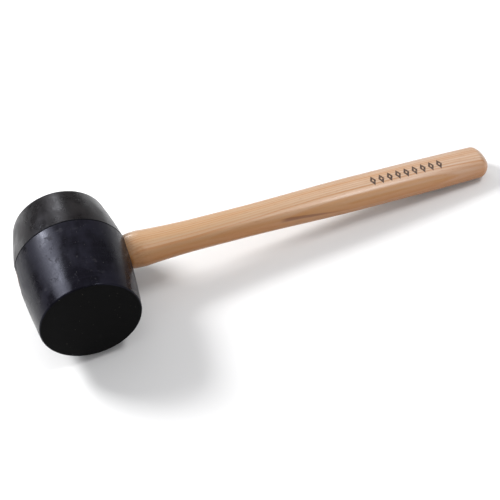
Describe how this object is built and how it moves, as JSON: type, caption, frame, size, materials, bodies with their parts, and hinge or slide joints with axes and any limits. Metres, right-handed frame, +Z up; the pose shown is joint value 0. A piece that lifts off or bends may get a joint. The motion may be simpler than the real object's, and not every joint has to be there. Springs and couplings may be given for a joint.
{
  "type": "rubber mallet",
  "caption": "Mallet with a moulded black rubber head, flat on both ends, wedged on a straight oval hardwood handle with a palm swell.",
  "frame": {"origin": "on the floor, under the centre of the mallet's box, with the mallet lying at rest on the head's widest ring and the butt of the handle", "axes": "+X towards the butt of the handle, which droops a little to reach the floor; -Y out of the long side's striking face and +Y out of the short side's, along the head; +Z up"},
  "size_m": [0.4122, 0.108, 0.0906],
  "materials": {
    "black_rubber": "satin",
    "lacquered_hickory": "satin",
    "wedge_wood": "matte",
    "wedge_steel": "satin"
  },
  "bodies": {
    "root": {"head": "black_rubber", "handle": "lacquered_hickory", "wood_wedge": "wedge_wood", "steel_wedge_near": "wedge_steel", "steel_wedge_far": "wedge_steel"}
  },
  "joints": []
}
